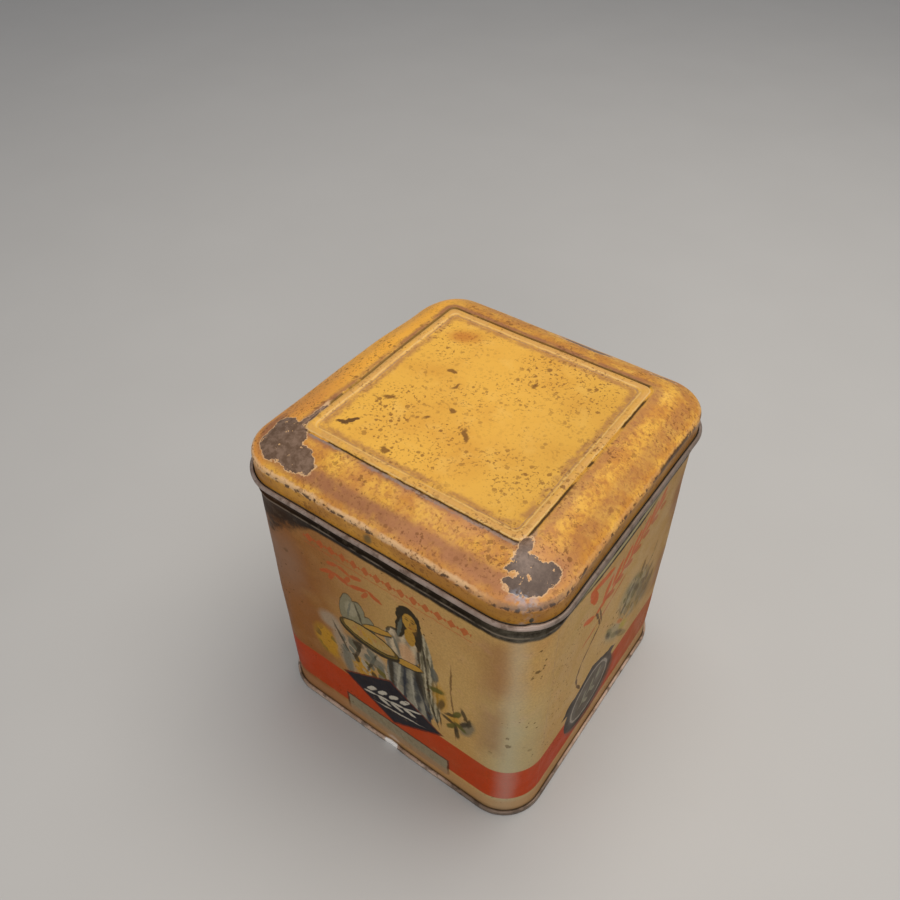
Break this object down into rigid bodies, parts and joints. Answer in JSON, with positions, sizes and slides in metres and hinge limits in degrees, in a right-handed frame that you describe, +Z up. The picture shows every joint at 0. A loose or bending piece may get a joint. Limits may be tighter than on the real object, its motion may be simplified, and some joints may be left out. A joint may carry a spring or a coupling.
{
  "type": "cookie tin",
  "caption": "Square printed tinplate tin with rounded corners, seamed bottom and a lift-off slip lid with a wired rim.",
  "frame": {"origin": "centre of the foot rim on the surface that the tin stands on", "axes": "+Z up through the middle of the tin and the lid; +X and -Y are the two printed sides that face the viewer, and the folded side seam is on -X"},
  "size_m": [0.1812, 0.1812, 0.2057],
  "materials": {
    "cream_print": "aged glossy lithographed tinplate, cream with an orange band",
    "yellow_print": "worn semi-gloss lithographed tinplate, yellow ochre with rust specks",
    "plain_tinplate": "dull aged tinplate",
    "steel_wire": "dull drawn wire"
  },
  "bodies": {
    "tin": {"body_wall": "cream_print", "bottom_panel": "plain_tinplate"},
    "lid": {"lid_shell": "yellow_print", "lid_rim_wire": "steel_wire"}
  },
  "joints": [
    {"name": "lid_lift", "type": "slide", "parent": "tin", "child": "lid", "axis": [0, 0, 1], "range_m": [0, 0.22]}
  ]
}
